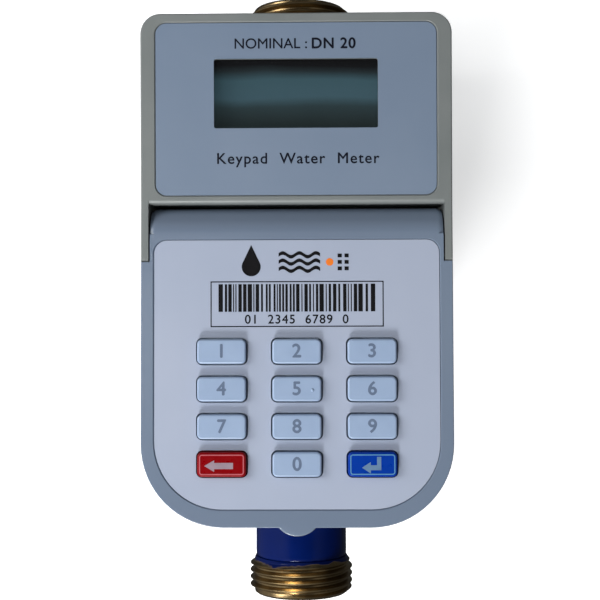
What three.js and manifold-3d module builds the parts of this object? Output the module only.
// Keypad water meter, DN 20, with a flip-up keypad lid over a roller register and a motor ball valve in
// the outlet. Millimetres, +Z up. The pipe runs along Y, the inlet at -Y, and the origin is under the
// middle of the pipe on the plane that the body stands on.
import * as THREE from "three";
import { mergeVertices } from "three/addons/utils/BufferGeometryUtils.js";
import Module from "manifold-3d";

const wasm = await Module();
wasm.setup();

// ---- Driving dimensions -------------------------------------------------------------------------

const GAP = 0.3; // clearance between pieces that touch
const RUN = 0.4; // clearance around pieces that move

// pipe ends, G 1 B thread
const PIPE_LENGTH = 190;
const AXIS_Z = 36;
const THREAD_R = 16.62;
const THREAD_PITCH = 2.309;
const THREAD_DEPTH = 1.48;
const THREAD_LENGTH = 12;
const PIPE_R = 14.65;
const BORE_R = 9.5;
const END_CHAMFER = 0.8;

// measuring cup of the body
const CUP_Y = -20.5;
const CUP_R = 37;
const CUP_WALL = 5.5;
const CUP_FLOOR = 7;
const CUP_FLOOR_SLOPE = { width: 6, height: 8 }; // where the cavity's floor meets its wall
const FOOT_R = 25;
const FOOT_BEVEL = { width: 6, height: 3 };
const BOWL = { inset: 2, low: 14, high: 22 }; // the slope between the foot and the straight side
const FLANGE_TAPER = 2;
const FLANGE_R = 39.5;
const FLANGE_HEIGHT = 6;
const NECK_R = 35.2;
const NECK_RISE = 4.5;
const PLATE_R = 33;
const CLAMP_R = 38.3;

// case: lower shell, display housing and lid share one outline
const CASE_WIDTH = 82;
const CASE_FRONT = -62.3;
const CASE_REAR = 72.7;
const FRONT_CORNER_R = 21.8;
const REAR_CORNER_R = 5.3;
const CASE_EDGE_R = 2;
const CASE_WALL = 2.2;
const SHELL_FLOOR_Z = 58.3;
const SHELL_FLOOR = 2.5;
const BEZEL_DROP = 3.2; // from the split line to the deck around the register

// display housing
const DISPLAY_FRONT = 22.6;
const HOUSING_TOP = 2.6;
const FACE_CORNER_R = 0.4;
const DISPLAY_TILT = THREE.MathUtils.degToRad(2);
const LABEL_THICKNESS = 0.4;
const LABEL_RECESS = 0.6;
const DISPLAY_MARGIN = { side: 4.05, front: 2.2, rear: 2.6 };
const DISPLAY_CORNER_R = 2.9;
const WINDOW = { width: 43.2, front: 19.8, rear: 38.1, corner: 0.6 };
const WINDOW_THICKNESS = 1.2;
const WINDOW_LIP = 0.7; // the frame of the housing that the pane rests under
const WINDOW_LAP = 1.7; // how far the pane reaches under the frame
const LCD = { overlap: 3.4, side: 3.4, thickness: 2.8, drop: 2.6 };
const LCD_PINS = { side: 2.4, rear: 2, length: 1.6 };
const BOARD = { width: 70, front: 4.5, rear: 45, thickness: 1.6, drop: 4.7 };
const CHIP = { width: 12, front: 8, rear: 15, height: 1.4 };
const CONNECTOR = { left: 20, right: 32, front: 6, rear: 11, height: 5 };
const BUZZER = { r: 5, x: -26, y: 12, height: 5.5 };
const BATTERY = { r: 7.2, length: 50, fromRear: 10.5, belowSplit: 15 };

// lid and its hinge; the hinge group's origin is on the hinge axis
const BARREL_R = 7.3;
const BARREL_CLEARANCE = 0.6; // from the barrel to the display housing's front
const EAR_THICKNESS = 2;
const EAR_MARGIN = 2.7; // how far the ears reach past the barrel
const EAR_ROOT = 8; // how far the ears run along the housing's sides
const PIN_R = 1.75;
const PIN_LENGTH = 8;
const PIN_COVER = 0.6; // left of the ear outside the pin's end
const CABLE_R = 0.6;
const CABLE_REACH = 9;
const LID_WALL = 2;
const LID_ROOF = 2;
const TAB_R = 6.5;
const TAB_REACH = 2.3;
const TAB_THICKNESS = 3;
const TAB_BEVEL = 0.8;
const TAB_EASE = 0.5;
const KEYPAD_MARGIN = { side: 3.6, front: 4.8, hinge: 1.8 };
const KEYPAD_CORNER_R = 17.8;
const KEYPAD_REAR_CORNER_R = 3.4;
const BACK_PLATE = 1.5;

// keys
const KEY_COLUMNS = 3;
const KEY_ROWS = 4;
const KEY_SPACE = { x: 6.85, y: 3.4 }; // between neighbouring caps
const FIRST_ROW_Y = -16.3;
const KEY = { width: 12.8, depth: 6.4, corner: 1.3, ease: 0.5 };
const KEY_RISE = 1.8;
const KEY_FLANGE = 0.9;
const KEY_FLANGE_RIM = 1.2;
const KEY_TRAVEL = 0.8;
const MAT = { margin: 4.4, side: 3.95, thickness: 1.2, corner: 2 };
const KEY_BOARD = { side: 3, thickness: 1.6 };

// ball valve
const VALVE_Y = 47;
const CHEST_WALL = 5.2;
const CHEST_LENGTH = 36;
const CHEST_NECK_R = 10;
const BALL_R = 11;
const BALL_BORE_R = 7.5;
const STEM_R = 3.2;
const STEM_FLAT = 0.8;
const TONGUE = { width: 6, thickness: 3.2, depth: 2.6, slack: 0.4, rise: 1.5 };
const STEM_SEAL = { wall: 2.4, depth: 4, length: 2.2, below: 1.4 };
const SEAT_LENGTH = 4;
const VALVE_TEETH = 24;
const VALVE_PINION_TEETH = 8;
const VALVE_MODULE = 0.8;
const GEAR_FACE = 3;
const GEAR_CLEARANCE = 0.8;
const GEARBOX_SPACE = 1.5;
const GEARBOX_WALL = 1.4;
const MOTOR = { r: 6.2, length: 17, ease: 1, cap: 2.2, capLength: 1, shaft: 1, shaftReach: 2, margin: 1.8 };

// register
const REGISTER_R = 31;
const REGISTER_WALL = 1.4;
const REGISTER_FLOOR = 1.2;
const REGISTER_FLANGE = 2;
const GLASS_THICKNESS = 2.4;
const GLASS_TO_DIAL = 4;
const DIAL_THICKNESS = 1;
const BEZEL_THICKNESS = 1.8;
const BEZEL_LAP = { under: 3, over: 1.2, lip: 0.4 };
const TRAIN_MODULE = 0.6;
const WHEEL_TEETH = 30;
const PINION_TEETH = 10;
const DRUM_COUNT = 5;
const DRUM_R = 6;
const DRUM_WIDTH = 4.8;
const DRUM_PITCH = 5.2;
const DRUM_DISH = { rim: 1.2, depth: 1.6, hub: 2.4 };
const DRUM_SHAFT_R = 1;
const DRUM_CLEARANCE = 0.4; // below the dial
const DRUM_WINDOW = { width: 3.8, depth: 5.6 };
const HANGER = { thickness: 1.2, width: 5, gap: 1.6 };
const SHAFT_PAST = 0.6; // the drum shaft's ends stand past the hangers
const WORM_R = 2;
const WORM_CREST = 0.9;
const WORM_TURNS = 1.5; // puts a crest level with the worm wheel's axis, between two of its teeth
const WORM_WHEEL_R = 5.5;
const WORM_WHEEL_TEETH = 10;

// ---- Values that follow from them ---------------------------------------------------------------

const FLANGE_Z = SHELL_FLOOR_Z - GAP;
const SHELL_TOP_OF_FLOOR = SHELL_FLOOR_Z + SHELL_FLOOR;
const NECK_TOP = FLANGE_Z + NECK_RISE;
const CAVITY_R = CUP_R - CUP_WALL;
const PLATE_THICKNESS = 1.8;
const SEAL_THICKNESS = 0.8;
const CHEST_R = BALL_R + GAP + CHEST_WALL;
const LEDGE_Z = NECK_TOP - PLATE_THICKNESS - SEAL_THICKNESS - 2 * GAP;
const REGISTER_Z = NECK_TOP + GAP;
const CUP_FLOOR_TOP = REGISTER_Z + REGISTER_FLOOR;
const WHEEL_FACE = 1.8;
const LEVEL_1 = CUP_FLOOR_TOP + 3.8; // follower pinion and star wheel
const LEVEL_2 = LEVEL_1 + 2.8; // star pinion and litre wheel
const DRUM_FLOOR_Z = LEVEL_2 + WHEEL_FACE + 1.3;
const DRUM_AXIS_Z = DRUM_FLOOR_Z + DRUM_R;
const DIAL_Z = DRUM_AXIS_Z + DRUM_R + DRUM_CLEARANCE;
const GLASS_Z = DIAL_Z + GLASS_TO_DIAL;
const BEZEL_Z = GLASS_Z + GLASS_THICKNESS + GAP;
const SPLIT_Z = BEZEL_Z + BEZEL_DROP;
const LID_HEIGHT = 2 * BARREL_R + RUN; // the barrel fills the lid from its top to the split line
const LID_TOP_Z = SPLIT_Z + LID_HEIGHT;
const HINGE_Y = DISPLAY_FRONT - BARREL_CLEARANCE - BARREL_R;
const HINGE_Z = LID_TOP_Z - BARREL_R;
const EAR_R = BARREL_R + EAR_MARGIN;
const KEY_PITCH_X = KEY.width + KEY_SPACE.x;
const KEY_PITCH_Y = KEY.depth + KEY_SPACE.y;
const HALF_WIDTH = CASE_WIDTH / 2;
const EAR_INNER = HALF_WIDTH - EAR_THICKNESS;
const LID_FRONT = CASE_FRONT - HINGE_Y;
const DISPLAY_LABEL = {
  width: CASE_WIDTH - 2 * DISPLAY_MARGIN.side,
  front: DISPLAY_MARGIN.front,
  rear: CASE_REAR - DISPLAY_FRONT - DISPLAY_MARGIN.rear,
  corner: DISPLAY_CORNER_R,
};
const KEYPAD_LABEL = {
  width: CASE_WIDTH - 2 * KEYPAD_MARGIN.side,
  front: LID_FRONT + KEYPAD_MARGIN.front,
  rear: -KEYPAD_MARGIN.hinge,
  corner: KEYPAD_CORNER_R,
  rearCorner: KEYPAD_REAR_CORNER_R,
};

const CUT_PAST = 1; // how far a cutter reaches past the surface it opens
const SUNK = 0.5; // how far a joined solid is sunk into its neighbour

// ---- Geometry helpers ---------------------------------------------------------------------------

// A closed three.js geometry as a manifold-3d solid.
function solid(geometry, matrix) {
  const bare = new THREE.BufferGeometry();
  const source = geometry.index ? geometry.toNonIndexed() : geometry;
  bare.setAttribute("position", source.getAttribute("position").clone());
  if (matrix) bare.applyMatrix4(matrix);
  const merged = mergeVertices(bare, 1e-4);
  return new wasm.Manifold(
    new wasm.Mesh({
      numProp: 3,
      vertProperties: new Float32Array(merged.attributes.position.array),
      triVerts: new Uint32Array(merged.index.array),
    }),
  );
}

const at = (x, y, z) => new THREE.Matrix4().makeTranslation(x, y, z);
const alongX = (x, y, z) => at(x, y, z).multiply(new THREE.Matrix4().makeRotationZ(-Math.PI / 2));
const alongZ = (x, y, z) => at(x, y, z).multiply(new THREE.Matrix4().makeRotationX(Math.PI / 2));
const union = (first, ...rest) => rest.reduce((sum, next) => sum.add(next), first);
const cut = (first, ...rest) => rest.reduce((left, next) => left.subtract(next), first);

// A box from its lowest to its highest corner.
function box(x0, x1, y0, y1, z0, z1) {
  const geometry = new THREE.BoxGeometry(x1 - x0, y1 - y0, z1 - z0);
  return solid(geometry, at((x0 + x1) / 2, (y0 + y1) / 2, (z0 + z1) / 2));
}

// Round bars along each axis.
function rodZ(r, z0, z1, x = 0, y = 0, sides = 24) {
  return solid(new THREE.CylinderGeometry(r, r, z1 - z0, sides), alongZ(x, y, (z0 + z1) / 2));
}
function rodY(r, y0, y1, x = 0, z = 0, sides = 32) {
  return solid(new THREE.CylinderGeometry(r, r, y1 - y0, sides), at(x, (y0 + y1) / 2, z));
}
function rodX(r, x0, x1, y = 0, z = 0, sides = 24) {
  return solid(new THREE.CylinderGeometry(r, r, x1 - x0, sides), alongX((x0 + x1) / 2, y, z));
}

// A solid of revolution about Z; the profile lists [radius, z], and closes on itself or on the axis.
function turned(profile, x = 0, y = 0, sides = 48) {
  const closed = profile[0][0] === 0 ? profile : [...profile, profile[0]];
  const points = closed.map(([r, z]) => new THREE.Vector2(r, z));
  const place = alongZ(x, y, 0);
  const made = solid(new THREE.LatheGeometry(points, sides), place);
  if (made.volume() > 0) return made;
  return solid(new THREE.LatheGeometry(points.reverse(), sides), place);
}

// The corner points of a rounded plate; front corners lie at y0, rear corners at y1.
function plateOutline(width, y0, y1, frontR, rearR = frontR, inset = 0, steps = 6) {
  const w = width / 2 - inset;
  const [low, high] = [y0 + inset, y1 - inset];
  const corners = [
    [w, high, rearR, 0],
    [-w, high, rearR, 1],
    [-w, low, frontR, 2],
    [w, low, frontR, 3],
  ];
  return corners.flatMap(([x, y, radius, quarter]) => {
    const r = Math.max(radius - inset, 0.05);
    const centre = [x - Math.sign(x) * r, quarter < 2 ? y - r : y + r];
    return Array.from({ length: steps + 1 }, (_, i) => {
      const a = (quarter + i / steps) * (Math.PI / 2);
      return new THREE.Vector2(centre[0] + r * Math.cos(a), centre[1] + r * Math.sin(a));
    });
  });
}

// Joins rings of equal point counts, bottom ring first, into one closed solid. A ring is { points, z }.
function loft(rings) {
  const n = rings[0].points.length;
  const positions = rings.flatMap(({ points, z }) => points.flatMap((p) => [p.x, p.y, z]));
  const faces = [];
  for (let k = 0; k + 1 < rings.length; k++)
    for (let i = 0; i < n; i++) {
      const [a, b] = [k * n + i, k * n + ((i + 1) % n)];
      faces.push(a, b, b + n, a, b + n, a + n);
    }
  const last = (rings.length - 1) * n;
  for (const [a, b, c] of THREE.ShapeUtils.triangulateShape(rings[0].points, [])) faces.push(a, c, b);
  for (const [a, b, c] of THREE.ShapeUtils.triangulateShape(rings.at(-1).points, []))
    faces.push(last + a, last + b, last + c);
  const geometry = new THREE.BufferGeometry();
  geometry.setAttribute("position", new THREE.Float32BufferAttribute(positions, 3));
  geometry.setIndex(faces);
  return geometry;
}

// A straight plate with rounded corners.
function plate({ width, front, rear, corner, rearCorner = corner }, z0, z1, inset = 0, steps = 6) {
  const points = plateOutline(width, front, rear, corner, rearCorner, inset, steps);
  return loft([
    { points, z: z0 },
    { points, z: z1 },
  ]);
}

// A plate whose upper edge is rounded by radius r.
function crownedPlate(outline, z0, z1, r, steps = 6, rounds = 3) {
  const { width, front, rear, corner, rearCorner = corner } = outline;
  const ring = (inset, z) => ({
    points: plateOutline(width, front, rear, corner, rearCorner, inset, steps),
    z,
  });
  const crown = Array.from({ length: rounds + 1 }, (_, i) => {
    const a = (i / rounds) * (Math.PI / 2);
    return ring(r * (1 - Math.cos(a)), z1 - r + r * Math.sin(a));
  });
  return loft([ring(0, z0), ...crown]);
}

// A bar along +Z with a helical ridge. The ridge fades in over the first and last half turn.
function threaded(core, crest, pitch, length, sides = 24, rowsPerTurn = 3) {
  const rows = Math.round((length / pitch) * rowsPerTurn);
  const ridge = (turn) => 1 - Math.abs(2 * (turn - Math.floor(turn)) - 1);
  const rings = Array.from({ length: rows + 1 }, (_, row) => {
    const z = (row / rows) * length;
    const fade = Math.min(1, (2 * Math.min(z, length - z)) / pitch);
    const points = Array.from({ length: sides }, (_, i) => {
      const turn = i / sides;
      const r = core + (crest - core) * fade * ridge(z / pitch - turn);
      return new THREE.Vector2(r * Math.cos(turn * 2 * Math.PI), r * Math.sin(turn * 2 * Math.PI));
    });
    return { points, z };
  });
  return loft(rings);
}

// Tooth proportions, in modules and in shares of half a tooth's width.
const DEDENDUM = 1.15;
const ADDENDUM = 0.8;
const TOOTH_ROOT = 1.75;
const TOOTH_TIP = 0.55;

// A spur gear blank along Z with straight-sided teeth; slack narrows each tooth. The first tooth points
// along +X.
function gear(teeth, module, z0, z1, slack = 0.3) {
  const r = (teeth * module) / 2;
  const step = (2 * Math.PI) / teeth;
  const half = (step / 4) * (1 - slack);
  const levels = [
    [r - DEDENDUM * module, -half * TOOTH_ROOT],
    [r + ADDENDUM * module, -half * TOOTH_TIP],
    [r + ADDENDUM * module, half * TOOTH_TIP],
    [r - DEDENDUM * module, half * TOOTH_ROOT],
  ];
  const points = Array.from({ length: teeth }, (_, t) =>
    levels.map(([level, shift]) => {
      const a = t * step + shift;
      return new THREE.Vector2(level * Math.cos(a), level * Math.sin(a));
    }),
  ).flat();
  return loft([
    { points, z: z0 },
    { points, z: z1 },
  ]);
}

// ---- Materials ----------------------------------------------------------------------------------

const paint = (color, roughness, metalness = 0, extra = {}) =>
  new THREE.MeshStandardMaterial({ color, roughness, metalness, ...extra });

const materials = {
  bodyPaint: paint(0x0a1f5c, 0.25),
  brass: paint(0x9a7b48, 0.35, 1),
  steel: paint(0xb8bcc0, 0.3, 1),
  magnet: paint(0x3a3a3c, 0.5, 0.6),
  rubber: paint(0x1c1c1e, 0.8),
  ptfe: paint(0xe8e8e4, 0.5),
  acetal: paint(0xd9dcd6, 0.55),
  impeller: paint(0x2f4f7a, 0.5),
  warmGrey: paint(0xa3a7a5, 0.45),
  blueGrey: paint(0x8494a8, 0.4),
  keypadFilm: paint(0xb9c2d6, 0.5),
  key: paint(0xa9bcd4, 0.4),
  redKey: paint(0xb01525, 0.4),
  blueKey: paint(0x0a4fae, 0.4),
  silicone: paint(0x6f7780, 0.8),
  board: paint(0x1f5a38, 0.5),
  lcd: paint(0x5a6a66, 0.2),
  clear: paint(0xd8e4e8, 0.05, 0, { transparent: true, opacity: 0.35 }),
  dial: paint(0xf0f0ea, 0.6),
  drum: paint(0x161616, 0.5),
  pointer: paint(0xc41d20, 0.5),
  battery: paint(0x2c7a4b, 0.4),
  cable: paint(0x202020, 0.6),
};

const meter = new THREE.Group();

// Adds a finished solid to a group as a named mesh.
function add(name, made, material, group = meter) {
  const { vertProperties, triVerts, numProp } = made.getMesh();
  const positions = new Float32Array((vertProperties.length / numProp) * 3);
  for (let i = 0; i < positions.length / 3; i++)
    positions.set(vertProperties.subarray(i * numProp, i * numProp + 3), i * 3);
  const geometry = new THREE.BufferGeometry();
  geometry.setAttribute("position", new THREE.BufferAttribute(positions, 3));
  geometry.setIndex(new THREE.BufferAttribute(new Uint32Array(triVerts), 1));
  geometry.computeVertexNormals();
  const mesh = new THREE.Mesh(geometry, material);
  mesh.name = name;
  group.add(mesh);
  return mesh;
}

function groupAt(x, y, z, parent = meter) {
  const group = new THREE.Group();
  group.position.set(x, y, z);
  parent.add(group);
  return group;
}

// ---- Body casting -------------------------------------------------------------------------------

// One pipe end with its thread, from the pipe's inner end to the sealing face, pointing along +Z.
function threadedEnd(reach) {
  const threadStart = reach - THREAD_LENGTH;
  const root = THREAD_R - THREAD_DEPTH;
  const pipe = rodZ(PIPE_R, 0, threadStart + CUT_PAST);
  const ridge = threaded(root, THREAD_R, THREAD_PITCH, THREAD_LENGTH - END_CHAMFER);
  const thread = solid(ridge, at(0, 0, threadStart));
  const noseFoot = reach - END_CHAMFER - SUNK;
  const nose = turned(
    [
      [0, noseFoot],
      [root, noseFoot],
      [root, reach - END_CHAMFER],
      [root - END_CHAMFER, reach],
      [0, reach],
    ],
    0,
    0,
    28,
  );
  return union(pipe, thread, nose);
}

const outward = (sign) => new THREE.Matrix4().makeRotationX((-sign * Math.PI) / 2);

// A solid turned to face along +Y or -Y and moved onto the pipe axis.
function onPipe(made, sign) {
  const m = at(0, 0, AXIS_Z).multiply(outward(sign)).elements;
  return made.transform([...m]);
}

function bodyCasting() {
  const half = PIPE_LENGTH / 2;
  const cup = turned(
    [
      [0, 0],
      [FOOT_R, 0],
      [FOOT_R + FOOT_BEVEL.width, FOOT_BEVEL.height],
      [CUP_R - BOWL.inset, BOWL.low],
      [CUP_R, BOWL.high],
      [CUP_R, FLANGE_Z - FLANGE_HEIGHT - FLANGE_TAPER],
      [FLANGE_R, FLANGE_Z - FLANGE_HEIGHT],
      [FLANGE_R, FLANGE_Z],
      [NECK_R, FLANGE_Z],
      [NECK_R, NECK_TOP],
      [0, NECK_TOP],
    ],
    0,
    CUP_Y,
    40,
  );
  const chest = union(
    rodY(CHEST_R, VALVE_Y - CHEST_LENGTH / 2, VALVE_Y + CHEST_LENGTH / 2, 0, AXIS_Z, 32),
    rodZ(CHEST_NECK_R, AXIS_Z, FLANGE_Z, 0, VALVE_Y, 32),
  );
  const shell = union(cup, onPipe(threadedEnd(half), 1), onPipe(threadedEnd(half), -1), chest);
  const cavity = turned(
    [
      [0, CUP_FLOOR],
      [CAVITY_R - CUP_FLOOR_SLOPE.width, CUP_FLOOR],
      [CAVITY_R, CUP_FLOOR + CUP_FLOOR_SLOPE.height],
      [CAVITY_R, LEDGE_Z],
      [PLATE_R + GAP, LEDGE_Z],
      [PLATE_R + GAP, NECK_TOP + CUT_PAST],
      [0, NECK_TOP + CUT_PAST],
    ],
    0,
    CUP_Y,
    40,
  );
  const inletBore = rodY(BORE_R, -half - CUT_PAST, CUP_Y - CAVITY_R + BORE_R / 2, 0, AXIS_Z);
  const outletBore = rodY(BORE_R, CUP_Y + CAVITY_R - BORE_R / 2, VALVE_Y, 0, AXIS_Z);
  const ballBore = rodY(BALL_R + GAP, VALVE_Y - BALL_R - SEAT_LENGTH / 2, half + CUT_PAST, 0, AXIS_Z);
  const stemBore = rodZ(STEM_R + RUN, AXIS_Z, FLANGE_Z + CUT_PAST, 0, VALVE_Y);
  const sealFloor = FLANGE_Z - STEM_SEAL.depth;
  const sealSeat = rodZ(STEM_R + STEM_SEAL.wall, sealFloor, FLANGE_Z + CUT_PAST, 0, VALVE_Y);
  return cut(shell, cavity, inletBore, outletBore, ballBore, stemBore, sealSeat);
}

add("meter_body", bodyCasting(), materials.bodyPaint);

// ---- Measuring chamber --------------------------------------------------------------------------

// Jet cup: a loose liner with slanted jets in two rows, standing off the cavity's wall on one rib.
const JET_CUP = { space: 3, floor: 2, wall: 2, rib: 3, headroom: 2 };
const JETS = { count: 6, length: 9, width: 3.4, height: 6, lean: 0.9, fromAxis: 9 };

function jetCup() {
  const r = CAVITY_R - JET_CUP.space;
  const floor = CUP_FLOOR + GAP;
  const bend = CUP_FLOOR_SLOPE.height;
  const floorR = CAVITY_R - CUP_FLOOR_SLOPE.width - CUT_PAST;
  const [ribLow, ribHigh] = [AXIS_Z - JET_CUP.rib / 2, AXIS_Z + JET_CUP.rib / 2];
  const wall = turned(
    [
      [0, floor],
      [floorR, floor],
      [r, floor + bend],
      [r, ribLow],
      [CAVITY_R - GAP, ribLow],
      [CAVITY_R - GAP, ribHigh],
      [r, ribHigh],
      [r, LEDGE_Z - JET_CUP.headroom],
      [r - JET_CUP.wall, LEDGE_Z - JET_CUP.headroom],
      [r - JET_CUP.wall, floor + bend + JET_CUP.floor / 2],
      [floorR - JET_CUP.wall, floor + JET_CUP.floor],
      [0, floor + JET_CUP.floor],
    ],
    0,
    CUP_Y,
    36,
  );
  const jets = [];
  for (let i = 0; i < JETS.count; i++) {
    const a = (i / JETS.count) * 2 * Math.PI;
    for (const row of [-1, 1]) {
      const place = at(0, CUP_Y, AXIS_Z + row * JETS.fromAxis)
        .multiply(new THREE.Matrix4().makeRotationZ(a))
        .multiply(at(r - JET_CUP.wall / 2, 0, 0))
        .multiply(new THREE.Matrix4().makeRotationZ(-row * JETS.lean));
      jets.push(solid(new THREE.BoxGeometry(JETS.length, JETS.width, JETS.height), place));
    }
  }
  return cut(wall, ...jets);
}

// Impeller: seven vanes on a hub that stands on the pivot; the drive magnet slides over its spigot.
const HUB = { r: 4.5, bore: 1.4, boreDepth: 10, spigot: 2.6, spigotLength: 5, skirt: 1 };
const VANES = { count: 7, thickness: 1.2, tipClearance: 2.9, floorClearance: 9, headroom: 6 };
const PIVOT = { r: 1, length: 16.4 };
const DRIVE_MAGNET = { r: 7, height: 4 };
const VANE_LOW = CUP_FLOOR + JET_CUP.floor + VANES.floorClearance;
const VANE_TOP = LEDGE_Z - JET_CUP.headroom - VANES.headroom;

function impeller() {
  const [low, high] = [VANE_LOW, VANE_TOP];
  const hub = turned(
    [
      [HUB.bore, low - HUB.skirt],
      [HUB.r, low - HUB.skirt],
      [HUB.r, high],
      [HUB.spigot, high],
      [HUB.spigot, high + HUB.spigotLength],
      [0, high + HUB.spigotLength],
      [0, low - HUB.skirt + HUB.boreDepth],
      [HUB.bore, low - HUB.skirt + HUB.boreDepth],
    ],
    0,
    CUP_Y,
    20,
  );
  const tip = CAVITY_R - JET_CUP.space - JET_CUP.wall - VANES.tipClearance;
  const root = HUB.r - SUNK;
  const vane = new THREE.BoxGeometry(tip - root, VANES.thickness, high - low);
  const vanes = Array.from({ length: VANES.count }, (_, i) => {
    const place = at(0, CUP_Y, (low + high) / 2)
      .multiply(new THREE.Matrix4().makeRotationZ((i / VANES.count) * 2 * Math.PI))
      .multiply(at((root + tip) / 2, 0, 0));
    return solid(vane, place);
  });
  return union(hub, ...vanes);
}

// A flat ring about a vertical axis.
const ring = (inner, outer, z0, z1, y = CUP_Y, sides = 28) =>
  turned(
    [
      [inner, z0],
      [outer, z0],
      [outer, z1],
      [inner, z1],
    ],
    0,
    y,
    sides,
  );

const STRAINER = { wall: 1.2, floor: 2, inset: 1, fromCup: 4, slots: 3, slot: 3, pitch: 6 };

function inletStrainer() {
  const r = BORE_R - GAP;
  const y0 = -PIPE_LENGTH / 2 + STRAINER.inset;
  const y1 = CUP_Y - CUP_R - STRAINER.fromCup;
  const tube = rodY(r, y0, y1, 0, AXIS_Z, 24);
  const hollow = rodY(r - STRAINER.wall, y0 + STRAINER.floor, y1 + CUT_PAST, 0, AXIS_Z, 24);
  const mouth = rodY(r - 2 * STRAINER.wall, y0 - CUT_PAST, y0 + STRAINER.floor + CUT_PAST, 0, AXIS_Z, 24);
  const slots = Array.from({ length: STRAINER.slots }, (_, i) => {
    const y = y0 + (i + 1) * STRAINER.pitch;
    return box(-BORE_R, BORE_R, y, y + STRAINER.slot, AXIS_Z - STRAINER.slot, AXIS_Z + STRAINER.slot);
  });
  return cut(tube, hollow, mouth, ...slots);
}

add("inlet_strainer", inletStrainer(), materials.acetal);
add("jet_cup", jetCup(), materials.acetal);
add("impeller", impeller(), materials.impeller);
const pivotFoot = CUP_FLOOR + JET_CUP.floor + 2 * GAP;
add("impeller_pivot", rodZ(PIVOT.r, pivotFoot, pivotFoot + PIVOT.length, 0, CUP_Y, 12), materials.steel);
const magnetZ = VANE_TOP + GAP;
const driveMagnet = ring(HUB.spigot + GAP, DRIVE_MAGNET.r, magnetZ, magnetZ + DRIVE_MAGNET.height);
add("drive_magnet", driveMagnet, materials.magnet);
const sealZ = LEDGE_Z + GAP;
const bodySeal = ring(CAVITY_R + GAP, PLATE_R - GAP / 2, sealZ, sealZ + SEAL_THICKNESS, CUP_Y, 36);
add("body_seal", bodySeal, materials.rubber);

const SOCKET = { r: 9, wall: 3, depth: 2, roof: 0.4 };

// The non-magnetic plate between the wet chamber and the dry register, with a collar around the magnet.
function pressurePlate() {
  const low = LEDGE_Z + 2 * GAP + SEAL_THICKNESS;
  return turned(
    [
      [0, low + SOCKET.roof],
      [SOCKET.r, low + SOCKET.roof],
      [SOCKET.r, low - SOCKET.depth],
      [SOCKET.r + SOCKET.wall, low - SOCKET.depth],
      [SOCKET.r + SOCKET.wall, low],
      [PLATE_R, low],
      [PLATE_R, low + PLATE_THICKNESS],
      [0, low + PLATE_THICKNESS],
    ],
    0,
    CUP_Y,
    36,
  );
}

const CLAMP_LIP = 2;
const SPANNER_SLOT = { radial: 3, width: 5, depth: 3 };

function clampRing() {
  const low = SHELL_TOP_OF_FLOOR + GAP;
  const lip = REGISTER_Z + REGISTER_FLANGE + GAP;
  const ringBody = turned(
    [
      [NECK_R + GAP, low],
      [CLAMP_R, low],
      [CLAMP_R, lip + CLAMP_LIP],
      [REGISTER_R + GAP, lip + CLAMP_LIP],
      [REGISTER_R + GAP, lip],
      [NECK_R + GAP, lip],
    ],
    0,
    CUP_Y,
    40,
  );
  const spannerSlots = [0, 1, 2, 3].map((i) => {
    const place = at(0, CUP_Y, lip + CLAMP_LIP)
      .multiply(new THREE.Matrix4().makeRotationZ(Math.PI / 4 + (i * Math.PI) / 2))
      .multiply(at(CLAMP_R, 0, 0));
    return solid(new THREE.BoxGeometry(SPANNER_SLOT.radial, SPANNER_SLOT.width, SPANNER_SLOT.depth), place);
  });
  return cut(ringBody, ...spannerSlots);
}

add("pressure_plate", pressurePlate(), materials.acetal);
add("clamp_ring", clampRing(), materials.brass);

// ---- Ball valve and its drive -------------------------------------------------------------------

function valveBall() {
  const ball = solid(new THREE.SphereGeometry(BALL_R, 24, 16), at(0, VALVE_Y, AXIS_Z));
  const half = TONGUE.thickness / 2 + TONGUE.slack;
  const slotFloor = AXIS_Z + BALL_R - TONGUE.depth - TONGUE.slack;
  const slot = box(-BALL_R, BALL_R, VALVE_Y - half, VALVE_Y + half, slotFloor, AXIS_Z + BALL_R + CUT_PAST);
  const port = rodY(BALL_BORE_R, VALVE_Y - BALL_R - CUT_PAST, VALVE_Y + BALL_R + CUT_PAST, 0, AXIS_Z, 24);
  return cut(ball, port, slot);
}

function valveSeat(sign) {
  const start = VALVE_Y + sign * (BALL_R - SEAT_LENGTH / 2 + GAP);
  const end = start + sign * (SEAT_LENGTH - 2 * GAP);
  const blank = rodY(BALL_R - GAP, Math.min(start, end), Math.max(start, end), 0, AXIS_Z, 28);
  const port = rodY(BALL_BORE_R, VALVE_Y - 2 * BALL_R, VALVE_Y + 2 * BALL_R, 0, AXIS_Z, 24);
  const cup = solid(new THREE.SphereGeometry(BALL_R + GAP, 28, 18), at(0, VALVE_Y, AXIS_Z));
  return cut(blank, port, cup);
}

const STEM_FOOT_Z = AXIS_Z + BALL_R - TONGUE.depth;
const GEAR_Z = SHELL_TOP_OF_FLOOR + GEAR_CLEARANCE;
const STEM_TOP = GEAR_Z + GEAR_FACE + 1;
const PINION_X = ((VALVE_TEETH + VALVE_PINION_TEETH) * VALVE_MODULE) / 2;
const GEARBOX_ROOF = STEM_TOP + 1;

// The flat on the stem, and in the gear's bore, that makes the gear turn the stem.
const stemFlat = (clearance, z0, z1) =>
  box(STEM_R - STEM_FLAT + clearance, 2 * STEM_R, VALVE_Y - 2 * STEM_R, VALVE_Y + 2 * STEM_R, z0, z1);

function valveStem() {
  const [w, t] = [TONGUE.width / 2, TONGUE.thickness / 2];
  const tongue = box(-w, w, VALVE_Y - t, VALVE_Y + t, STEM_FOOT_Z, AXIS_Z + BALL_R + TONGUE.rise);
  const shaft = rodZ(STEM_R, AXIS_Z + BALL_R + GAP, STEM_TOP, 0, VALVE_Y, 20);
  return cut(union(tongue, shaft), stemFlat(0, GEAR_Z - SUNK, STEM_TOP + CUT_PAST));
}

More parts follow.
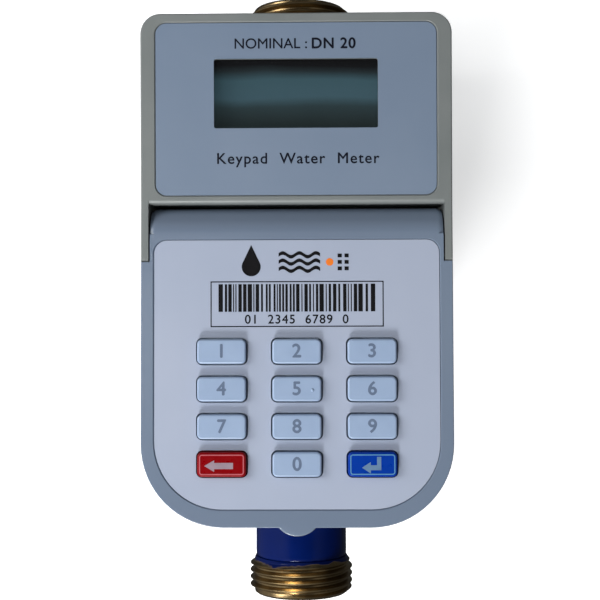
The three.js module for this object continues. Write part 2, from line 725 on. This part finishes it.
function valveGear() {
  const rim = solid(gear(VALVE_TEETH, VALVE_MODULE, GEAR_Z, GEAR_Z + GEAR_FACE), at(0, VALVE_Y, 0));
  const round = rodZ(STEM_R + GAP, GEAR_Z - CUT_PAST, STEM_TOP, 0, VALVE_Y, 20);
  return cut(rim, cut(round, stemFlat(GAP, GEAR_Z - 2 * CUT_PAST, STEM_TOP + CUT_PAST)));
}

// The pinion is turned by half a tooth so that its gap faces the gear's tooth.
function motorPinion() {
  const halfTooth = Math.PI / VALVE_PINION_TEETH;
  const turn = new THREE.Matrix4().makeRotationZ(Math.PI + halfTooth);
  const blank = gear(VALVE_PINION_TEETH, VALVE_MODULE, GEAR_Z, GEAR_Z + GEAR_FACE);
  const teeth = solid(blank, at(PINION_X, VALVE_Y, 0).multiply(turn));
  const shaft = rodZ(MOTOR.shaft, GEAR_Z, GEARBOX_ROOF + MOTOR.shaftReach, PINION_X, VALVE_Y, 12);
  return union(teeth, shaft);
}

const GEARBOX_HALF = (VALVE_TEETH * VALVE_MODULE) / 2 + GEARBOX_SPACE + GEARBOX_WALL;
const GEARBOX = {
  x0: -GEARBOX_HALF,
  x1: PINION_X + MOTOR.r + MOTOR.margin,
  y0: VALVE_Y - GEARBOX_HALF,
  y1: VALVE_Y + GEARBOX_HALF,
};

function gearboxCover() {
  const { x0, x1, y0, y1 } = GEARBOX;
  const w = GEARBOX_WALL;
  const low = SHELL_TOP_OF_FLOOR + GAP;
  const outer = box(x0, x1, y0, y1, low, GEARBOX_ROOF + w);
  const inner = box(x0 + w, x1 - w, y0 + w, y1 - w, low - CUT_PAST, GEARBOX_ROOF);
  const [under, over] = [GEARBOX_ROOF - CUT_PAST, GEARBOX_ROOF + w + CUT_PAST];
  const shaftHole = rodZ(MOTOR.shaft + RUN, under, over, PINION_X, VALVE_Y, 12);
  return cut(outer, inner, shaftHole);
}

function valveMotor() {
  const low = GEARBOX_ROOF + GEARBOX_WALL + GAP;
  const high = low + MOTOR.length;
  const socketTop = GEARBOX_ROOF + MOTOR.shaftReach + 2;
  return turned(
    [
      [0, socketTop],
      [MOTOR.shaft + RUN, socketTop],
      [MOTOR.shaft + RUN, low],
      [MOTOR.r, low],
      [MOTOR.r, high],
      [MOTOR.r - MOTOR.ease, high + MOTOR.ease],
      [MOTOR.cap, high + MOTOR.ease],
      [MOTOR.cap, high + MOTOR.ease + MOTOR.capLength],
      [0, high + MOTOR.ease + MOTOR.capLength],
    ],
    PINION_X,
    VALVE_Y,
    20,
  );
}

add("valve_ball", valveBall(), materials.steel);
add("valve_seat_inner", valveSeat(-1), materials.ptfe);
add("valve_seat_outer", valveSeat(1), materials.ptfe);
add("valve_stem", valveStem(), materials.steel);
const stemSealTop = FLANGE_Z - STEM_SEAL.below;
const stemSealR = STEM_R + STEM_SEAL.wall - RUN;
const stemSeal = ring(STEM_R + RUN, stemSealR, stemSealTop - STEM_SEAL.length, stemSealTop, VALVE_Y, 20);
add("stem_seal", stemSeal, materials.rubber);
add("valve_gear", valveGear(), materials.acetal);
add("motor_pinion", motorPinion(), materials.acetal);
add("gearbox_cover", gearboxCover(), materials.warmGrey);
add("valve_motor", valveMotor(), materials.steel);

// ---- Register -----------------------------------------------------------------------------------

const register = groupAt(0, CUP_Y, 0);
const MESH_DISTANCE = ((WHEEL_TEETH + PINION_TEETH) * TRAIN_MODULE) / 2;
const LITRE_X = 17.5;
const LITRE_Y = 5.5;
const DRUM_AXIS_Y = LITRE_Y + WORM_R + WORM_WHEEL_R;
const POINTER_Z = DIAL_Z + DIAL_THICKNESS + 0.6;
const PINION_LAP = 0.3; // how far a pinion stands past its wheel on each side
const ARBOR_R = 0.8;
const FOLLOWER = { r: 7, height: 2.6, arbor: 1, lift: 0.5 };
const STAR = { points: 6, inner: 1.2, outer: 3.2, thickness: 0.7 };
const NEEDLE = { width: 1, tail: 1.8, reach: 3.6, hub: 1.5, height: 1 };
const WORM_ROOT = 0.5;

// The star arbor stands where it meshes with both the centre pinion and the litre wheel.
const litreReach = Math.hypot(LITRE_X, LITRE_Y);
const sideStep = Math.sqrt(MESH_DISTANCE ** 2 - (litreReach / 2) ** 2);
const STAR_X = LITRE_X / 2 + (sideStep * LITRE_Y) / litreReach;
const STAR_Y = LITRE_Y / 2 - (sideStep * LITRE_X) / litreReach;

function registerCup() {
  return turned(
    [
      [0, REGISTER_Z],
      [NECK_R - GAP, REGISTER_Z],
      [NECK_R - GAP, REGISTER_Z + REGISTER_FLANGE],
      [REGISTER_R, REGISTER_Z + REGISTER_FLANGE],
      [REGISTER_R, GLASS_Z - GAP],
      [REGISTER_R - REGISTER_WALL, GLASS_Z - GAP],
      [REGISTER_R - REGISTER_WALL, CUP_FLOOR_TOP],
      [0, CUP_FLOOR_TOP],
    ],
    0,
    0,
    40,
  );
}

// A toothed wheel on the train, its first tooth at the given angle.
function trainGear(teeth, x, y, z, angle, face = WHEEL_FACE) {
  const place = at(x, y, 0).multiply(new THREE.Matrix4().makeRotationZ(angle));
  return solid(gear(teeth, TRAIN_MODULE, z, z + face), place);
}

// A pinion is a little wider than the wheel that it drives.
const trainPinion = (x, y, z, angle) =>
  trainGear(PINION_TEETH, x, y, z - PINION_LAP, angle, WHEEL_FACE + 2 * PINION_LAP);

const towardStar = Math.atan2(STAR_Y, STAR_X);
const starToLitre = Math.atan2(LITRE_Y - STAR_Y, LITRE_X - STAR_X);
const halfWheelTooth = Math.PI / WHEEL_TEETH;

function followerArbor() {
  const low = CUP_FLOOR_TOP + FOLLOWER.lift;
  const magnet = rodZ(FOLLOWER.r, low, low + FOLLOWER.height, 0, 0, 28);
  const arbor = rodZ(FOLLOWER.arbor, low, LEVEL_1 + WHEEL_FACE + PINION_LAP, 0, 0, 12);
  return union(magnet, arbor, trainPinion(0, 0, LEVEL_1, towardStar));
}

function starArbor() {
  const corners = 2 * STAR.points;
  const points = Array.from({ length: corners }, (_, i) => {
    const r = i % 2 ? STAR.inner : STAR.outer;
    const a = (i / corners) * 2 * Math.PI;
    return new THREE.Vector2(STAR_X + r * Math.cos(a), STAR_Y + r * Math.sin(a));
  });
  const top = POINTER_Z + STAR.thickness;
  const star = solid(loft([{ points, z: POINTER_Z }, { points, z: top }]));
  const arbor = rodZ(ARBOR_R, LEVEL_1 - 1, top, STAR_X, STAR_Y, 12);
  const wheelTooth = towardStar + Math.PI + halfWheelTooth;
  const bigWheel = trainGear(WHEEL_TEETH, STAR_X, STAR_Y, LEVEL_1, wheelTooth);
  return union(arbor, bigWheel, trainPinion(STAR_X, STAR_Y, LEVEL_2, starToLitre), star);
}

function litreArbor() {
  const wheelTooth = starToLitre + Math.PI + halfWheelTooth;
  const bigWheel = trainGear(WHEEL_TEETH, LITRE_X, LITRE_Y, LEVEL_2, wheelTooth);
  const lead = (2 * Math.PI * WORM_WHEEL_R) / WORM_WHEEL_TEETH;
  const wormLength = WORM_TURNS * lead;
  const worm = solid(
    threaded(WORM_R - WORM_ROOT, WORM_R + WORM_CREST, lead, wormLength, 12, 8),
    at(LITRE_X, LITRE_Y, DRUM_AXIS_Z - wormLength / 2),
  );
  const top = POINTER_Z + NEEDLE.height;
  const arbor = rodZ(ARBOR_R, LEVEL_2 - 1, top, LITRE_X, LITRE_Y, 12);
  const hub = rodZ(NEEDLE.hub, POINTER_Z, top, LITRE_X, LITRE_Y, 16);
  const [x0, x1] = [LITRE_X - NEEDLE.width / 2, LITRE_X + NEEDLE.width / 2];
  const needle = box(x0, x1, LITRE_Y - NEEDLE.tail, LITRE_Y + NEEDLE.reach, POINTER_Z + 0.1, top - 0.2);
  return union(bigWheel, worm, arbor, hub, needle);
}

const DRUM_TO_WORM = 4.4; // from the first drum to the middle of the worm
const WORM_WHEEL_HALF = 1.2;
const DRUM_HUB_R = 2.2;
const FIRST_DRUM_X = LITRE_X - DRUM_TO_WORM;

function drum(index) {
  const x1 = FIRST_DRUM_X - index * DRUM_PITCH;
  const x0 = x1 - DRUM_WIDTH;
  const boreEnd = LITRE_X + WORM_WHEEL_HALF + CUT_PAST;
  const bore = rodX(DRUM_SHAFT_R + RUN, x0 - CUT_PAST, boreEnd, DRUM_AXIS_Y, DRUM_AXIS_Z, 12);
  const rim = rodX(DRUM_R, x0, x1, DRUM_AXIS_Y, DRUM_AXIS_Z, 20);
  const dish = cut(
    rodX(DRUM_R - DRUM_DISH.rim, x0 - CUT_PAST, x0 + DRUM_DISH.depth, DRUM_AXIS_Y, DRUM_AXIS_Z, 20),
    rodX(DRUM_DISH.hub, x0 - 2 * CUT_PAST, x0 + DRUM_WIDTH / 2, DRUM_AXIS_Y, DRUM_AXIS_Z, 12),
  );
  const bare = cut(rim, dish, bore);
  if (index > 0) return bare;
  const onShaft = at(LITRE_X, DRUM_AXIS_Y, DRUM_AXIS_Z);
  const turn = onShaft.multiply(new THREE.Matrix4().makeRotationY(Math.PI / 2));
  const wheelModule = (2 * WORM_WHEEL_R) / (WORM_WHEEL_TEETH + 2.4); // leaves room for the addendum
  const wheelBlank = gear(WORM_WHEEL_TEETH, wheelModule, -WORM_WHEEL_HALF, WORM_WHEEL_HALF, 0.55);
  const teeth = solid(wheelBlank, turn);
  const hub = rodX(DRUM_HUB_R, x1 - SUNK, LITRE_X, DRUM_AXIS_Y, DRUM_AXIS_Z, 16);
  return cut(union(bare, hub, teeth), bore);
}

const SHAFT_LEFT = FIRST_DRUM_X - DRUM_COUNT * DRUM_PITCH - HANGER.gap;
const SHAFT_RIGHT = LITRE_X + DRUM_TO_WORM;

function dialPlate() {
  const disc = turned(
    [
      [0, DIAL_Z],
      [REGISTER_R - REGISTER_WALL - GAP, DIAL_Z],
      [REGISTER_R - REGISTER_WALL - GAP, DIAL_Z + DIAL_THICKNESS],
      [0, DIAL_Z + DIAL_THICKNESS],
    ],
    0,
    0,
    40,
  );
  const [under, over] = [DIAL_Z - CUT_PAST, DIAL_Z + DIAL_THICKNESS + CUT_PAST];
  const windows = Array.from({ length: DRUM_COUNT }, (_, i) => {
    const x = FIRST_DRUM_X - i * DRUM_PITCH - DRUM_WIDTH / 2;
    const [w, d] = [DRUM_WINDOW.width / 2, DRUM_WINDOW.depth / 2];
    return box(x - w, x + w, DRUM_AXIS_Y - d, DRUM_AXIS_Y + d, under, over);
  });
  const arborHoles = [
    rodZ(ARBOR_R + RUN, under, over, STAR_X, STAR_Y, 12),
    rodZ(ARBOR_R + RUN, under, over, LITRE_X, LITRE_Y, 12),
  ];
  const hangers = [SHAFT_LEFT, SHAFT_RIGHT].map((x) => {
    const [half, end] = [HANGER.width / 2, x + HANGER.thickness];
    const tab = box(x, end, DRUM_AXIS_Y - half, DRUM_AXIS_Y + half, DRUM_AXIS_Z - half, DIAL_Z + SUNK);
    return cut(tab, rodX(DRUM_SHAFT_R + GAP, x - CUT_PAST, end + CUT_PAST, DRUM_AXIS_Y, DRUM_AXIS_Z, 12));
  });
  return cut(union(disc, ...hangers), ...windows, ...arborHoles);
}

add("register_cup", registerCup(), materials.acetal, register);
add("follower_arbor", followerArbor(), materials.magnet, register);
add("star_arbor", starArbor(), materials.pointer, register);
add("litre_arbor", litreArbor(), materials.pointer, register);
for (let i = 0; i < DRUM_COUNT; i++) add("drum_" + (i + 1), drum(i), materials.drum, register);
const shaftEnd = SHAFT_RIGHT + HANGER.thickness + SHAFT_PAST;
const drumShaft = rodX(DRUM_SHAFT_R, SHAFT_LEFT - SHAFT_PAST, shaftEnd, DRUM_AXIS_Y, DRUM_AXIS_Z, 12);
add("drum_shaft", drumShaft, materials.steel, register);
add("dial_plate", dialPlate(), materials.dial, register);
const glass = ring(0, REGISTER_R, GLASS_Z, GLASS_Z + GLASS_THICKNESS, 0, 40);
add("register_glass", glass, materials.clear, register);

// ---- Lower shell --------------------------------------------------------------------------------

const caseOutline = {
  width: CASE_WIDTH,
  front: CASE_FRONT,
  rear: CASE_REAR,
  corner: FRONT_CORNER_R,
  rearCorner: REAR_CORNER_R,
};
const PARTITION_Y = CUP_Y + CLAMP_R + GAP;
const PARTITION = 1.8;
const BOSS_R = 2.6;
const BOSS_X = HALF_WIDTH - 10;
const BOSS_Y = CASE_FRONT + 10.3;
const SCREW = { shank: 0.7, length: 9, hole: 1, head: 1.2, slot: 0.7, slotDepth: 0.6 };
const PULSE_SENSOR = { half: 7, space: 1.2, below: 8, above: 4 };

// The shell's lower edge is rounded, so it is a crowned plate turned upside down.
function shellBlank() {
  const drop = SPLIT_Z - SHELL_FLOOR_Z;
  const flipped = {
    ...caseOutline,
    front: -CASE_REAR,
    rear: -CASE_FRONT,
    corner: REAR_CORNER_R,
    rearCorner: FRONT_CORNER_R,
  };
  const turn = at(0, 0, SPLIT_Z).multiply(new THREE.Matrix4().makeRotationX(Math.PI));
  return solid(crownedPlate(flipped, 0, drop, 3, 6), turn);
}

function baseShell() {
  const hollow = solid(plate(caseOutline, SHELL_TOP_OF_FLOOR, SPLIT_Z + CUT_PAST, CASE_WALL));
  const divider = box(
    -HALF_WIDTH + 1,
    HALF_WIDTH - 1,
    PARTITION_Y,
    PARTITION_Y + PARTITION,
    SHELL_TOP_OF_FLOOR - SUNK,
    SPLIT_Z,
  );
  const bosses = [-BOSS_X, BOSS_X].map((x) =>
    rodZ(BOSS_R, SHELL_TOP_OF_FLOOR - SUNK, BEZEL_Z - GAP, x, BOSS_Y, 16),
  );
  const walls = union(cut(shellBlank(), hollow), divider, ...bosses);
  const [under, over] = [SHELL_FLOOR_Z - CUT_PAST, SHELL_TOP_OF_FLOOR + CUT_PAST];
  const neckHole = rodZ(NECK_R + GAP, under, over, 0, CUP_Y, 40);
  const stemHole = rodZ(STEM_R + 1.5, under, over, 0, VALVE_Y);
  const screwHole = rodZ(SCREW.hole, SHELL_TOP_OF_FLOOR + 2, SPLIT_Z, BOSS_X, BOSS_Y, 12);
  return cut(walls, neckHole, stemHole, screwHole);
}

// The deck around the register glass, seen when the lid is up.
function registerBezel() {
  const deck = {
    width: CASE_WIDTH - 2 * (CASE_WALL + GAP),
    front: CASE_FRONT + CASE_WALL + GAP,
    rear: PARTITION_Y - GAP,
    corner: FRONT_CORNER_R - CASE_WALL,
    rearCorner: 0.5,
  };
  const top = BEZEL_Z + BEZEL_THICKNESS;
  const sheet = solid(plate(deck, BEZEL_Z, top));
  const porthole = turned(
    [
      [0, BEZEL_Z - CUT_PAST],
      [REGISTER_R - BEZEL_LAP.under, BEZEL_Z - CUT_PAST],
      [REGISTER_R - BEZEL_LAP.under, BEZEL_Z + BEZEL_LAP.lip],
      [REGISTER_R - BEZEL_LAP.over, top + BEZEL_LAP.lip],
      [0, top + BEZEL_LAP.lip],
    ],
    0,
    CUP_Y,
    40,
  );
  return cut(sheet, porthole, rodZ(SCREW.hole, BEZEL_Z - CUT_PAST, SPLIT_Z, BOSS_X, BOSS_Y, 12));
}

function sealScrew() {
  const seat = BEZEL_Z + BEZEL_THICKNESS + GAP;
  const top = seat + SCREW.head;
  const shank = rodZ(SCREW.shank, seat - SCREW.length, seat, BOSS_X, BOSS_Y, 10);
  const head = rodZ(BOSS_R, seat, top, BOSS_X, BOSS_Y, 20);
  const [x0, x1] = [BOSS_X - BOSS_R - CUT_PAST, BOSS_X + BOSS_R + CUT_PAST];
  const [y0, y1] = [BOSS_Y - SCREW.slot / 2, BOSS_Y + SCREW.slot / 2];
  return cut(union(shank, head), box(x0, x1, y0, y1, top - SCREW.slotDepth, top + CUT_PAST));
}

function pulseSensor() {
  const { half, space, below, above } = PULSE_SENSOR;
  const [y0, y1] = [CUP_Y + REGISTER_R + space, PARTITION_Y - space];
  return box(-half, half, y0, y1, DRUM_AXIS_Z - below, DRUM_AXIS_Z + above);
}

add("base_shell", baseShell(), materials.warmGrey);
add("register_bezel", registerBezel(), materials.blueGrey);
add("seal_screw", sealScrew(), materials.steel);
add("pulse_sensor", pulseSensor(), materials.board);

// ---- Display housing ----------------------------------------------------------------------------

// Its frame starts at the front upper edge and tilts up toward the rear.
const face = groupAt(0, DISPLAY_FRONT, LID_TOP_Z);
face.rotation.x = DISPLAY_TILT;
face.updateMatrix();
const onFace = face.matrix;

// Shears a plate's upper surface to follow the tilted face.
function tilted(geometry, z0) {
  const position = geometry.getAttribute("position");
  for (let i = 0; i < position.count; i++) {
    const share = Math.max(0, (position.getZ(i) - z0) / (LID_TOP_Z - z0));
    const rise = Math.tan(DISPLAY_TILT) * (position.getY(i) - DISPLAY_FRONT);
    position.setZ(i, position.getZ(i) + share * rise);
  }
  return geometry;
}

function displayHousing() {
  const low = SPLIT_Z + GAP;
  const outline = {
    width: CASE_WIDTH,
    front: DISPLAY_FRONT,
    rear: CASE_REAR,
    corner: FACE_CORNER_R,
    rearCorner: REAR_CORNER_R,
  };
  const block = solid(tilted(crownedPlate(outline, low, LID_TOP_Z, CASE_EDGE_R), low));
  const rootY = DISPLAY_FRONT + EAR_ROOT;
  const [under, over] = [low - CUT_PAST, LID_TOP_Z + CUT_PAST];
  const outside = HALF_WIDTH + CUT_PAST;
  const earPlan = { ...outline, front: HINGE_Y - EAR_R, rear: rootY, rearCorner: FACE_CORNER_R };
  const earBlock = solid(crownedPlate(earPlan, low, LID_TOP_Z, CASE_EDGE_R));
  const earShape = union(
    rodX(EAR_R, -outside, outside, HINGE_Y, HINGE_Z, 40),
    box(-outside, outside, HINGE_Y, rootY, under, over),
  );
  const between = box(-EAR_INNER, EAR_INNER, HINGE_Y - 2 * EAR_R, rootY + CUT_PAST, under, over);
  const ears = cut(earBlock.intersect(earShape), between);
  const hollow = solid(plate(outline, under, LID_TOP_Z - HOUSING_TOP, CASE_WALL));
  const recess = solid(plate(DISPLAY_LABEL, -LABEL_RECESS, CASE_EDGE_R + CUT_PAST, -GAP / 2), onFace);
  const opening = solid(plate(WINDOW, -LID_HEIGHT, LID_HEIGHT, 0, 2), onFace);
  const seatPlan = { ...WINDOW, ...grown(WINDOW, WINDOW_LAP + GAP) };
  const windowSeat = solid(plate(seatPlan, -LID_HEIGHT, -LABEL_RECESS - WINDOW_LIP, 0, 2), onFace);
  const pinEnd = HALF_WIDTH - PIN_COVER;
  const pinHoles = rodX(PIN_R + GAP, -pinEnd, pinEnd, HINGE_Y, HINGE_Z, 16);
  return cut(union(cut(block, hollow), ears), recess, opening, windowSeat, pinHoles);
}

// A plan made wider by the same amount on every side.
function grown({ width, front, rear }, by) {
  return { width: width + 2 * by, front: front - by, rear: rear + by };
}

function displayLabel() {
  const low = -LABEL_RECESS + GAP / 2;
  const film = solid(plate(DISPLAY_LABEL, low, low + LABEL_THICKNESS));
  return cut(film, solid(plate(WINDOW, low - CUT_PAST, low + LABEL_THICKNESS + CUT_PAST, 0, 2)));
}

function lcdWindow() {
  const pane = { ...WINDOW, ...grown(WINDOW, WINDOW_LAP) };
  const top = -LABEL_RECESS - WINDOW_LIP - GAP;
  return solid(plate(pane, top - WINDOW_THICKNESS, top, 0, 2));
}

const LCD_TOP = -LABEL_RECESS - WINDOW_THICKNESS - LCD.drop;

function lcdModule() {
  const half = WINDOW.width / 2 + LCD.side;
  const [front, rear] = [WINDOW.front - LCD.overlap, WINDOW.rear + LCD.overlap];
  const low = LCD_TOP - LCD.thickness;
  const cell = box(-half, half, front, rear, low, LCD_TOP);
  const pinHalf = WINDOW.width / 2 + LCD_PINS.side;
  const pins = box(-pinHalf, pinHalf, front + SUNK, front + SUNK + 1, low - LCD_PINS.length, low + SUNK);
  return union(cell, pins);
}

const BOARD_TOP = LCD_TOP - BOARD.drop;

function mainBoard() {
  const low = BOARD_TOP - BOARD.thickness;
  const sheet = box(-BOARD.width / 2, BOARD.width / 2, BOARD.front, BOARD.rear, low, BOARD_TOP);
  const chipTop = BOARD_TOP + CHIP.height;
  const chip = box(-CHIP.width / 2, CHIP.width / 2, CHIP.front, CHIP.rear, BOARD_TOP - SUNK, chipTop);
  const { left, right, front, rear, height } = CONNECTOR;
  const connector = box(left, right, front, rear, BOARD_TOP - height, low + SUNK);
  const buzzer = rodZ(BUZZER.r, BOARD_TOP - BUZZER.height, low + SUNK, BUZZER.x, BUZZER.y, 20);
  return union(sheet, chip, connector, buzzer);
}

function battery() {
  const half = BATTERY.length / 2;
  return rodX(BATTERY.r, -half, half, CASE_REAR - BATTERY.fromRear, SPLIT_Z - BATTERY.belowSplit, 20);
}

add("display_housing", displayHousing(), materials.warmGrey);
add("display_label", displayLabel(), materials.blueGrey, face);
add("lcd_window", lcdWindow(), materials.clear, face);
add("lcd_module", lcdModule(), materials.lcd, face);
add("main_board", mainBoard(), materials.board, face);
add("battery", battery(), materials.battery);

// ---- Hinge --------------------------------------------------------------------------------------

const hinge = groupAt(0, HINGE_Y, HINGE_Z);
const pinOuter = HALF_WIDTH - PIN_COVER - GAP;
const pinInner = pinOuter - PIN_LENGTH;
const bore = rodX(CABLE_R + GAP, -pinOuter - CUT_PAST, -pinInner + CUT_PAST, 0, 0, 12);
add("hinge_pin_left", cut(rodX(PIN_R, -pinOuter, -pinInner, 0, 0, 16), bore), materials.steel, hinge);
add("hinge_pin_right", rodX(PIN_R, pinInner, pinOuter, 0, 0, 16), materials.steel, hinge);

// The keypad cable leaves the hollow left pin inboard, along the hinge axis, where turning the lid doesn't
// move it.
const cable = rodX(CABLE_R, -pinOuter + SUNK, -pinInner + CABLE_REACH, 0, 0, 10);
add("keypad_cable", cable, materials.cable, hinge);

// ---- Lid ----------------------------------------------------------------------------------------

const lidOutline = {
  width: CASE_WIDTH,
  front: LID_FRONT,
  rear: 2,
  corner: FRONT_CORNER_R,
  rearCorner: FACE_CORNER_R,
};
const LID_BOTTOM = SPLIT_Z + RUN - HINGE_Z;
const LID_RECESS = BARREL_R - LABEL_RECESS;
const CEILING = LID_RECESS - LID_ROOF;
const KEY_TOP = LID_RECESS + LABEL_THICKNESS + KEY_RISE;
const BACK_PLATE_Z = LID_BOTTOM + 0.8;
const HOLLOW_REAR = -BARREL_R - 1.5; // the lid's inside ends in front of the barrel

const keyCentres = Array.from({ length: KEY_ROWS * KEY_COLUMNS }, (_, i) => ({
  x: ((i % KEY_COLUMNS) - (KEY_COLUMNS - 1) / 2) * KEY_PITCH_X,
  y: FIRST_ROW_Y - HINGE_Y - Math.floor(i / KEY_COLUMNS) * KEY_PITCH_Y,
}));

// A rounded block around a key's centre.
function keyBlock({ x, y }, grow, z0, z1, steps = 3) {
  const outline = {
    width: KEY.width + 2 * grow,
    front: -KEY.depth / 2 - grow,
    rear: KEY.depth / 2 + grow,
    corner: KEY.corner + grow,
  };
  return solid(plate(outline, z0, z1, 0, steps), at(x, y, 0));
}

function lidShell() {
  const deck = solid(crownedPlate(lidOutline, LID_BOTTOM, BARREL_R, CASE_EDGE_R, 8));
  const barrel = rodX(BARREL_R, -EAR_INNER, EAR_INNER, 0, 0, 40);
  const tabLow = BARREL_R - TAB_THICKNESS;
  const tab = turned(
    [
      [0, tabLow],
      [TAB_R - TAB_BEVEL, tabLow],
      [TAB_R, tabLow + TAB_BEVEL],
      [TAB_R, BARREL_R - TAB_EASE],
      [TAB_R - TAB_EASE, BARREL_R],
      [0, BARREL_R],
    ],
    0,
    LID_FRONT - TAB_REACH + TAB_R,
    32,
  );
  const outside = HALF_WIDTH + CUT_PAST;
  const [under, over] = [LID_BOTTOM - CUT_PAST, BARREL_R + CUT_PAST];
  const behind = box(-outside, outside, 0, BARREL_R, under, over);
  const notches = [-1, 1].map((side) => {
    const [inner, outer] = [side * (EAR_INNER - RUN), side * outside];
    return rodX(EAR_R + RUN, Math.min(inner, outer), Math.max(inner, outer), 0, 0, 40);
  });
  const underBarrel = cut(
    box(-HALF_WIDTH, HALF_WIDTH, -BARREL_R - CUT_PAST, CUT_PAST, under, RUN / 2 - BARREL_R),
    rodX(BARREL_R, -HALF_WIDTH, HALF_WIDTH, 0, 0, 40),
  );
  const outer = cut(union(cut(deck, behind), barrel, tab), ...notches, underBarrel);
  const inside = { ...lidOutline, rear: HOLLOW_REAR + LID_WALL };
  const hollow = solid(plate(inside, under, CEILING, LID_WALL, 8));
  const recess = solid(plate(KEYPAD_LABEL, LID_RECESS, over, -GAP / 2, 8));
  const keyHoles = keyCentres.map((centre) => keyBlock(centre, RUN, CEILING - CUT_PAST, over, 2));
  const pinBores = [-1, 1].map((side) => {
    const [a, b] = [side * (pinInner - GAP), side * outside];
    return rodX(PIN_R + RUN, Math.min(a, b), Math.max(a, b), 0, 0, 16);
  });
  const cableEnd = -pinInner + CABLE_REACH + CUT_PAST;
  const cableBore = rodX(CABLE_R + RUN, -pinInner - CUT_PAST, cableEnd, 0, 0, 10);
  return cut(outer, hollow, recess, ...keyHoles, ...pinBores, cableBore);
}

function keypadLabel() {
  const low = LID_RECESS + GAP / 2;
  const film = solid(plate(KEYPAD_LABEL, low, low + LABEL_THICKNESS, 0, 8));
  return cut(film, ...keyCentres.map((centre) => keyBlock(centre, RUN, low - CUT_PAST, low + CUT_PAST, 2)));
}

// A key: a flange held under the lid, and a cap that stands through it with a softened top edge.
function key(centre) {
  const flangeTop = CEILING - GAP;
  const flange = keyBlock(centre, KEY_FLANGE_RIM, flangeTop - KEY_FLANGE, flangeTop, 2);
  const outline = {
    width: KEY.width,
    front: -KEY.depth / 2,
    rear: KEY.depth / 2,
    corner: KEY.corner,
  };
  const crown = crownedPlate(outline, flangeTop - SUNK, KEY_TOP, KEY.ease, 3, 1);
  return union(flange, solid(crown, at(centre.x, centre.y, 0)));
}

const MAT_TOP = CEILING - GAP - KEY_FLANGE - KEY_TRAVEL - GAP;
const BOARD_Z = MAT_TOP - MAT.thickness - GAP;
const backPlan = {
  width: CASE_WIDTH - 2 * (LID_WALL + GAP),
  front: LID_FRONT + LID_WALL + GAP,
  rear: HOLLOW_REAR - GAP,
  corner: FRONT_CORNER_R - LID_WALL,
  rearCorner: 0.5,
};
const firstKey = keyCentres[0];
const lastKey = keyCentres.at(-1);
const matPlan = {
  width: 2 * (lastKey.x + KEY.width / 2 + MAT.side),
  front: lastKey.y - KEY.depth / 2 - MAT.margin,
  rear: firstKey.y + KEY.depth / 2 + MAT.margin,
  corner: MAT.corner,
};
const boardPlan = { ...matPlan, width: matPlan.width + 2 * KEY_BOARD.side };

add("lid_shell", lidShell(), materials.blueGrey, hinge);
add("keypad_label", keypadLabel(), materials.keypadFilm, hinge);
const mat = solid(plate(matPlan, MAT_TOP - MAT.thickness, MAT_TOP, 0, 3));
add("key_mat", mat, materials.silicone, hinge);
const keypadBoard = solid(plate(boardPlan, BOARD_Z - KEY_BOARD.thickness, BOARD_Z, 0, 3));
add("keypad_board", keypadBoard, materials.board, hinge);
const backPlate = solid(plate(backPlan, BACK_PLATE_Z, BACK_PLATE_Z + BACK_PLATE));
add("lid_back_plate", backPlate, materials.blueGrey, hinge);

const keyNames = ["1", "2", "3", "4", "5", "6", "7", "8", "9", "back", "0", "enter"];
const keyPaint = { back: materials.redKey, enter: materials.blueKey };
keyCentres.forEach((centre, i) => {
  const name = keyNames[i];
  add("key_" + name, key(centre), keyPaint[name] ?? materials.key, hinge);
});

export default meter;
